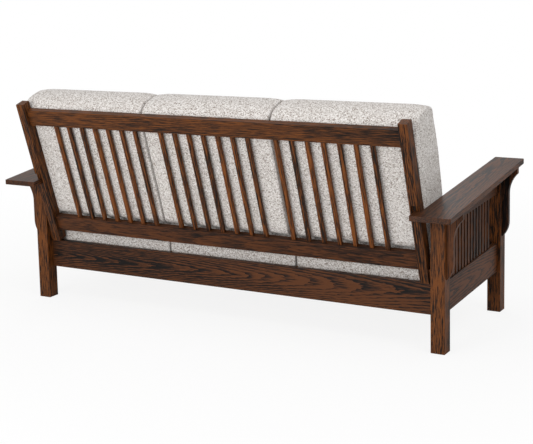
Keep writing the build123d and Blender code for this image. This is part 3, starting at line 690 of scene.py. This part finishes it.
# %% Back cushions
SEAT_CROWN = 5.0  # mm that a seat cushion's top rises in front of the back cushion
REST_GAP = 0.3  # mm between a cushion and what it lies on
BACK_FRONT_BULGE = 20.0  # mm that the middle of its front stands out
REAR_FOOT_CUT, FRONT_FOOT_CUT = 22.0, 20.0  # mm that a rounded corner takes off a side
FRONT_TOP_CUT, REAR_TOP_CUT = 60.0, 62.0
TOP_RISE = 2.0  # mm above the CAD solid, so that the wide curve still reaches its top
TOP_FLAT = 4.0  # mm each side of the middle, left between the two wide curves
SIDES = {"right": -1, "middle": 0, "left": 1}  # and which way is outward there
seat_top = room("seat_cushion_middle", SEAT_FORWARD, SEAT_UP)[2][1] - SEAT_CROWN


def foot_height(forward):
    """How far up the back the seat's top lies, at a place so many mm along OUT_OF_BACK."""
    return (seat_top + REST_GAP - forward * OUT_OF_BACK.dot(SEAT_UP)) / UP_BACK.dot(SEAT_UP)


for side, outward in SIDES.items():
    across, (rear, fullest), (_, top) = room(f"back_cushion_{side}", OUT_OF_BACK, UP_BACK)
    front = fullest - BACK_FRONT_BULGE
    centre = (rear + front) / 2
    corners = (
        (rear, foot_height(rear), REAR_FOOT_CUT, REAR_FOOT_CUT),
        (front, foot_height(front), FRONT_FOOT_CUT, FRONT_FOOT_CUT),
        (front, top + TOP_RISE, FRONT_TOP_CUT, front - centre - TOP_FLAT),
        (rear, top + TOP_RISE, centre - rear - TOP_FLAT, REAR_TOP_CUT),
    )
    shape = outline(corners, (0, BACK_FRONT_BULGE, 0, 0))
    walls = ((OUT_OF_BACK, rear), (SEAT_UP, seat_top + REST_GAP))
    lean = over_arm(across, top, outward)
    sew(f"back_cushion_{side}", across, shape, (OUT_OF_BACK, UP_BACK), walls, fill=0.85, lean=lean)

# %% [markdown]
# ### Seat cushions
# A seat cushion is a thick box with a gently crowned top that falls to the front. Its border and its top
# could be two meshes, but one outline with soft corners gives both, and the seams come later. From behind
# only its rear border shows, in the strip under the lower rail of the back, so its rear foot stays square.

# %% Seat cushions
SEAT_FRONT_BULGE = 7.0  # mm that the middle of its front stands out
SEAT_FRONT_DROP = 24.0  # mm from its crown down to the top's front corner
SEAT_TOP_BULGE = 3.0  # mm, of the front half of the top
UNDER_REAR_CUT, UNDER_FRONT_CUT = 4.0, 16.0  # mm that a rounded corner takes off a side
LIP_CUTS = (26.0, 40.0)  # mm off the top's front corner, down the front and along the top
CROWN_CUT, SEAT_REAR_CUT = 60.0, 16.0  # mm
for side in SIDES:
    across, (rear, fullest), (under, crown) = room(f"seat_cushion_{side}", SEAT_FORWARD, SEAT_UP)
    front = fullest - SEAT_FRONT_BULGE
    corners = (
        (rear, under, UNDER_REAR_CUT, UNDER_REAR_CUT),
        (front, under, UNDER_FRONT_CUT, UNDER_FRONT_CUT),
        (front, crown - SEAT_FRONT_DROP, *LIP_CUTS),
        ((rear + fullest) / 2, crown, CROWN_CUT, CROWN_CUT),
        (rear, seat_top, SEAT_REAR_CUT, SEAT_REAR_CUT),
    )
    shape = outline(corners, (0, SEAT_FRONT_BULGE, SEAT_TOP_BULGE, 0, 0))
    walls = ((SEAT_FORWARD, rear), (SEAT_UP, under))
    sew(f"seat_cushion_{side}", across, shape, (SEAT_FORWARD, SEAT_UP), walls, fill=0.8, firm_foot=True)

# %% [markdown]
# ### Blowing the cases up
# A filled case is never as even as its pattern. Its swellings could be pushed out by hand, but cloth with
# air inside finds them by itself, so each case is run as cloth for a few frames. Beforehand it is remeshed
# into small even faces, so that it may fold anywhere. Afterwards no point may have moved further than a
# firm filling lets it, nor into the wood, the seat or the next cushion.

# %% Even faces
CELL = 7.0  # mm


def apply_modifiers(piece):
    """Makes the piece's modifiers part of its mesh."""
    graph = bpy.context.evaluated_depsgraph_get()
    finished = piece.evaluated_get(graph)
    fresh = bpy.data.meshes.new_from_object(finished, preserve_all_data_layers=False, depsgraph=graph)
    fresh.name = piece.data.name
    piece.modifiers.clear()
    piece.data = fresh
    fresh.shade_smooth()


def even_out(cushion):
    """Remeshes a case into even faces, and keeps where its points are and how they face."""
    piece = cushion["piece"]
    even = piece.modifiers.new("even", "REMESH")
    even.mode = "VOXEL"
    even.voxel_size = CELL * MM
    apply_modifiers(piece)
    cushion["before"] = point_values(piece.data)
    cushion["normals"] = point_values(piece.data, "normal")


print("cloth cells", CELL, "mm")

# %% Air
FRAMES = 14
PRESSURE = 4.0
CLOTH_STEPS = 4  # that the simulation takes in a frame


def add_air(piece):
    """Makes a piece cloth with air inside and no weight."""
    cloth = piece.modifiers.new("cloth", "CLOTH")
    cloth.settings.quality = CLOTH_STEPS
    cloth.settings.use_pressure = True
    cloth.settings.uniform_pressure_force = PRESSURE
    cloth.settings.effector_weights.gravity = 0
    cloth.collision_settings.use_collision = False
    cloth.point_cache.frame_start = 1
    cloth.point_cache.frame_end = FRAMES


print("pressure", PRESSURE, "for", FRAMES, "frames")

# %% How far the filling lets a point move
MOVE_CAP = 9.0  # mm
MOST_POINTS = 90  # per cent of the points, whose steps are scaled to stay under the cap
DRAW_IN = 1.5  # mm that a point may move inwards
FIRM = 45.0  # mm round the rear foot of a seat cushion, where points move less and less


def from_walls(cushion, points):
    """How far points are from each of a cushion's two walls, in metres."""
    return [points @ np.array(direction) - low * MM for direction, low in cushion["walls"]]


def limited(cushion, step):
    """The points' steps, scaled and capped, with little of them inwards and none at a firm foot."""
    normals = cushion["normals"]
    step *= min(1, MOVE_CAP * MM / np.percentile(np.linalg.norm(step, axis=1), MOST_POINTS))
    step *= np.minimum(1, MOVE_CAP * MM / np.maximum(np.linalg.norm(step, axis=1), NEARLY_NOTHING))[:, None]
    out = (step * normals).sum(axis=1)
    step -= np.minimum(out + DRAW_IN * MM, 0)[:, None] * normals
    if cushion["firm_foot"]:
        from_foot = np.hypot(*from_walls(cushion, cushion["before"]))
        step *= np.minimum(1, from_foot / (FIRM * MM))[:, None] ** 2
    return step


print("cap", MOVE_CAP, "mm out,", DRAW_IN, "mm in")

# %% Off the wood, and square at the foot
SQUARE = 5.0  # mm from a face of the foot, within which points are laid onto it


def off_walls(cushion, points):
    """Points brought back out of the wood and the seat."""
    for direction, low in cushion["walls"]:
        points -= np.minimum(points @ np.array(direction) - low * MM, 0)[:, None] * np.array(direction)
    return points


def squared_foot(cushion, points):
    """Points close to the two faces of a seat cushion's rear foot, laid onto them."""
    behind, under = from_walls(cushion, points)
    on_rear = (behind < SQUARE * MM) & (under < FIRM * MM)
    on_underside = (under < SQUARE * MM) & (behind < FIRM * MM)
    forward, upward = (np.array(direction) for direction in cushion["directions"])
    back = np.where(on_rear, behind, 0)[:, None] * forward
    down = np.where(on_underside, under, 0)[:, None] * upward
    points -= back + down
    return points


print("rear foot square within", SQUARE, "mm")

# %% Between its neighbours
CREVICE = 4.5  # mm that a cushion's end stands back from its neighbour along the seam
CREVICE_DEPTH = 55.0  # mm, how far in from the seam it does so
FAR_OFF = 1e9  # mm, further than any point is


def between_neighbours(cushion, points):
    """Points brought back to the cushion's own width, and a little further near its end seams."""
    across = points @ np.array(ACROSS) / MM
    flat = np.stack([points @ np.array(direction) / MM for direction in cushion["directions"]], axis=1)
    from_seam = np.full(len(points), FAR_OFF)
    for p in cushion["shape"]:
        from_seam = np.minimum(from_seam, np.linalg.norm(flat - p, axis=1))
    back = CREVICE * np.clip(1 - from_seam / CREVICE_DEPTH, 0, 1)
    low, high = [np.array([cushion["lean"](x, p) for p in flat]) for x in cushion["across"]]
    held = np.clip(across, low + back, high - back)
    return points + (held - across)[:, None] * np.array(ACROSS) * MM


print("crevice", CREVICE, "mm, over", CREVICE_DEPTH, "mm")


# %% Run the cloth
def settle(name, cushion):
    """Takes the blown-up case as it is, limits it, and smooths it once."""
    piece = cushion["piece"]
    apply_modifiers(piece)
    step = point_values(piece.data) - cushion["before"]
    far = np.linalg.norm(step, axis=1)
    print(name, "points", len(far), "moved mm", round(far.mean() / MM, 1), round(far.max() / MM, 1))
    points = off_walls(cushion, cushion["before"] + limited(cushion, step))
    if cushion["firm_foot"]:
        points = squared_foot(cushion, points)
    piece.data.vertices.foreach_set("co", between_neighbours(cushion, points).ravel())
    smoother = piece.modifiers.new("smoother", "SUBSURF")
    smoother.levels = 1
    apply_modifiers(piece)


for cushion in cushions.values():
    even_out(cushion)
    add_air(cushion["piece"])
for frame_number in range(1, FRAMES + 1):
    scene.frame_set(frame_number)
for name, cushion in cushions.items():
    settle(name, cushion)
scene.frame_set(1)

# %% The finished cushions take the place of the CAD ones
for node_name, cushion in cushions.items():
    piece = cushion["piece"]
    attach(piece, node_name)
    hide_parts(node_name)
    print(piece.name, "fill", cushion["fill"], "faces", len(piece.data.polygons))

# %% [markdown]
# ### Seams
# Each end panel is sewn to the long panel in one plain seam, which shows as a fine ridge. A ridge in the
# case itself would be lost in the remesh, so the seam is a piece of its own. It follows the outline of the
# end, wherever the filling has pushed it: we lay the outline on the finished surface first, and then let
# Geometry Nodes carry a thin cord along it.

# %% The seam's node group
SEAM_RADIUS = 1.5  # mm
SEAM_STEP = 5.0  # mm between the cord's rings of points
SEAM_SIDES = 8  # of the cord, which is nearly round
SEAM_INPUTS = {"Path": "Geometry", "Cord radius": "Float", "Step": "Float", "Cloth": "Material"}
seam_group = bpy.data.node_groups.new("sewn_seam", "GeometryNodeTree")
for name, kind in SEAM_INPUTS.items():
    seam_group.interface.new_socket(name, in_out="INPUT", socket_type=f"NodeSocket{kind}")
seam_group.interface.new_socket("Seam", in_out="OUTPUT", socket_type="NodeSocketGeometry")
given = put(seam_group, "NodeGroupInput").outputs
curve = put(seam_group, "GeometryNodeMeshToCurve", {"Mesh": given["Path"]}).outputs[0]
even = put(seam_group, "GeometryNodeResampleCurve", {"Curve": curve, "Length": given["Step"]}, mode="LENGTH")
profile = put(seam_group, "GeometryNodeCurvePrimitiveCircle", {
    "Resolution": SEAM_SIDES, "Radius": given["Cord radius"],
})
cord = put(seam_group, "GeometryNodeCurveToMesh", {
    "Curve": even.outputs[0], "Profile Curve": profile.outputs[0],
})
real = put(seam_group, "GeometryNodeRealizeInstances", {0: cord.outputs[0]}).outputs[0]
clad = put(seam_group, "GeometryNodeSetMaterial", {"Geometry": real, "Material": given["Cloth"]}).outputs[0]
put(seam_group, "NodeGroupOutput", {"Seam": clad})
print("seam inputs", list(SEAM_INPUTS))

# %% A seam's path on the finished cushion
SEAM_PLACE = 1.5  # mm in from the end, on the rounded edge
SEAM_SUNK = 0.6  # how much of its radius the cord lies in the cloth


def seam_path(cushion, end, inwards):
    """The outline of one end, laid on the cushion's own surface and a little into it."""
    path = []
    for p in drawn_in(cushion["shape"], SEAM_PLACE):
        guess = cushion["place"](end + inwards * SEAM_PLACE, p)
        _, place, normal, _ = cushion["piece"].closest_point_on_mesh(guess)
        place = place - normal * SEAM_RADIUS * SEAM_SUNK * MM
        for direction, low in cushion["walls"]:
            place += direction * max(0.0, (low + SEAM_RADIUS) * MM - place.dot(direction))
        path.append(place)
    return path


print("seam", SEAM_PLACE, "mm in from the end")


# %% Seams laid along the ends
def seams(name, cushion):
    """Both seams of a cushion as one piece."""
    points, edges = [], []
    for end, inwards in zip(cushion["ends"], (1, -1)):
        path = seam_path(cushion, end, inwards)
        first = len(points)
        points += path
        edges += [(first + i, first + (i + 1) % len(path)) for i in range(len(path))]
    mesh = bpy.data.meshes.new(name)
    mesh.from_pydata(points, edges, [])
    piece = bpy.data.objects.new(name, mesh)
    scene.collection.objects.link(piece)
    sewing = piece.modifiers.new("sewing", "NODES")
    sewing.node_group = seam_group
    values = {"Cord radius": SEAM_RADIUS * MM, "Step": SEAM_STEP * MM, "Cloth": tweed}
    for item in seam_group.interface.items_tree:
        if item.in_out == "INPUT" and item.name in values:
            sewing[item.identifier] = values[item.name]
    apply_modifiers(piece)
    return piece


for node_name, cushion in cushions.items():
    piece = seams(f"seams_{node_name}", cushion)
    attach(piece, node_name)
    print(piece.name, "faces", len(piece.data.polygons))

# %% [markdown]
# ## Finish
# The view transform stays plain, so a colour shows as it is written. A filmic one would be kinder to bright
# cloth, but it would shift every colour that was matched.

# %% Finish
scene.view_settings.view_transform = "Standard"
